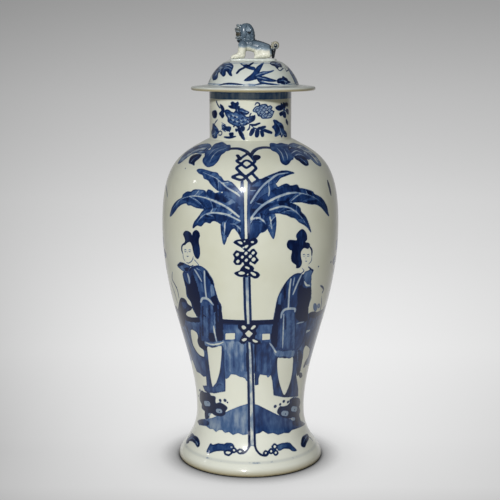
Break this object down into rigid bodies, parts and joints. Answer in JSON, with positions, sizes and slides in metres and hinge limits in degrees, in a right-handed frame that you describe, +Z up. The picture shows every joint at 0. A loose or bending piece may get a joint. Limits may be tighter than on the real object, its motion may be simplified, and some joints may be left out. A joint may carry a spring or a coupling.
{
  "type": "covered baluster vase",
  "caption": "Tall covered vase in blue and white porcelain: spreading foot, high round shoulders, straight neck, and a domed cover with a wide flange and a lion knob.",
  "frame": {"origin": "middle of the standing ring, on the surface that the vase stands on", "axes": "+Z up the vase's axis; the lion looks along -X; the side seen in the picture faces -Y"},
  "size_m": [0.181, 0.181, 0.4496],
  "materials": {
    "jar_glaze": "glossy transparent glaze over cobalt painting",
    "cover_glaze": "glossy transparent glaze over cobalt painting",
    "bare_clay": "unglazed, fine and dry",
    "lion_glaze": "glossy, cream with blue wash",
    "lion_blue_wash": "glossy slate blue wash",
    "lion_brown_wash": "glossy olive brown wash"
  },
  "bodies": {
    "jar": {"jar_foot": "jar_glaze", "jar_lower_body": "jar_glaze", "jar_shoulder": "jar_glaze", "jar_neck": "jar_glaze"},
    "cover": {"cover_dome": "cover_glaze", "cover_collar": "bare_clay", "lion_plinth": "cover_glaze", "lion_body": "lion_glaze", "lion_head": "lion_blue_wash", "lion_ear_near": "lion_blue_wash", "lion_ear_far": "lion_blue_wash", "lion_tail": "lion_brown_wash"}
  },
  "joints": [
    {"name": "cover_lift", "type": "slide", "parent": "jar", "child": "cover", "axis": [0, 0, 1], "range_m": [0, 0.07]}
  ]
}
